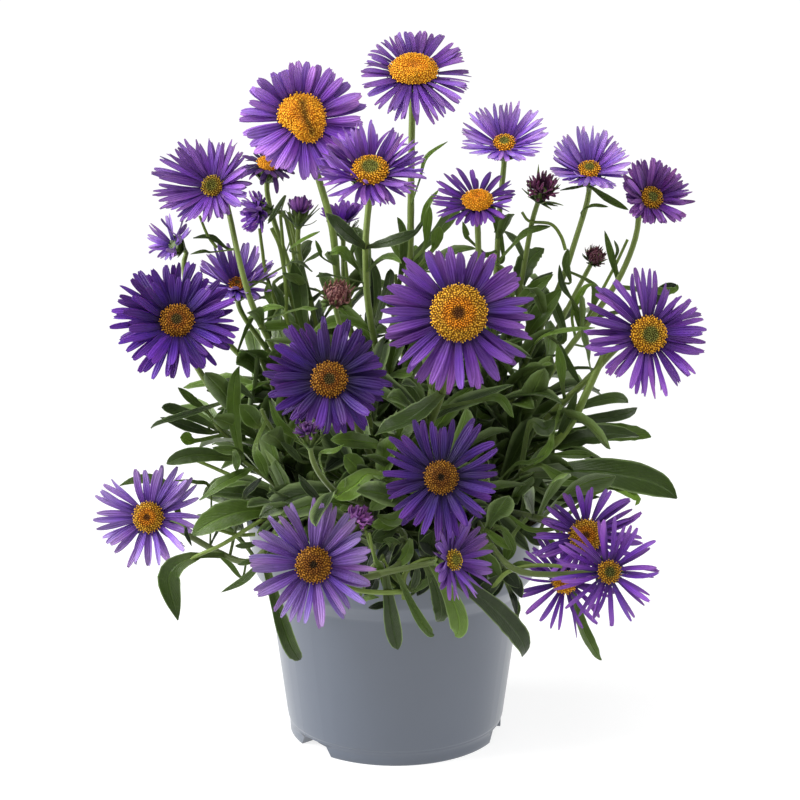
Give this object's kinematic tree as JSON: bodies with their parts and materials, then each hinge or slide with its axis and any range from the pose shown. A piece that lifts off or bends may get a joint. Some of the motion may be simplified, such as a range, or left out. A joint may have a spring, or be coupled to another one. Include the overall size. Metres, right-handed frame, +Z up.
{
  "type": "potted aster",
  "caption": "Alpine aster with violet daisy blooms and narrow green leaves, growing in soil in a round grey plastic nursery pot with a stepped rim",
  "frame": {"origin": "middle of the flat underside of the pot", "axes": "+Z up along the pot's axis, which is the longest side of the box; -Y is the front that most blooms face; +X to the right seen from the front"},
  "size_m": [0.232, 0.1819, 0.2763],
  "materials": {
    "pot_grey": "matt moulded",
    "soil_brown": "crumbly, matt",
    "leaf_green": "matt, finely hairy",
    "ray_violet": "silky matt",
    "ray_dark": "silky matt",
    "ray_light": "silky matt",
    "bud_maroon": "silky matt",
    "disc_gold": "granular matt"
  },
  "bodies": {
    "root": {"pot": "pot_grey", "soil": "soil_brown", "greens_left_front": "leaf_green", "greens_left_back": "leaf_green", "greens_middle_back": "leaf_green", "greens_middle_front": "leaf_green", "greens_right": "leaf_green", "bloom_01_rays": "ray_violet", "bloom_01_disc": "disc_gold", "bloom_02_rays": "ray_violet", "bloom_02_disc": "disc_gold", "bloom_03_rays": "ray_violet", "bloom_03_disc": "disc_gold", "bloom_04_rays": "ray_violet", "bloom_04_disc": "disc_gold", "bloom_05_rays": "ray_violet", "bloom_05_disc": "disc_gold", "bloom_06_rays": "ray_light", "bloom_06_disc": "disc_gold", "bloom_07_rays": "ray_light", "bloom_08_rays": "ray_dark", "bloom_08_disc": "disc_gold", "opening_09_petals": "ray_violet", "opening_10_petals": "ray_violet", "opening_11_petals": "ray_violet", "bloom_12_rays": "ray_light", "bloom_12_disc": "disc_gold", "bloom_13_rays": "ray_dark", "bloom_13_disc": "disc_gold", "opening_14_petals": "bud_maroon", "bloom_15_rays": "ray_light", "bloom_15_disc": "disc_gold", "bloom_16_rays": "ray_dark", "bloom_16_disc": "disc_gold", "bloom_18_rays": "ray_violet", "bloom_18_disc": "disc_gold", "bloom_19_rays": "ray_dark", "bloom_19_disc": "disc_gold", "bloom_21_rays": "ray_violet", "bloom_21_disc": "disc_gold", "bloom_22_rays": "ray_dark", "bloom_22_disc": "disc_gold", "bloom_23_rays": "ray_light", "bloom_23_disc": "disc_gold", "bloom_24_rays": "ray_light", "bloom_24_disc": "disc_gold", "opening_25_petals": "bud_maroon", "opening_26_petals": "ray_violet", "bloom_27_rays": "ray_light", "bloom_27_disc": "disc_gold", "bloom_28_rays": "ray_violet", "bloom_28_disc": "disc_gold", "bloom_29_rays": "ray_violet", "bloom_29_disc": "disc_gold", "bloom_30_rays": "ray_violet", "bloom_30_disc": "disc_gold", "bloom_31_rays": "ray_violet", "bloom_31_disc": "disc_gold", "bloom_32_rays": "ray_dark", "bloom_32_disc": "disc_gold"}
  },
  "joints": []
}
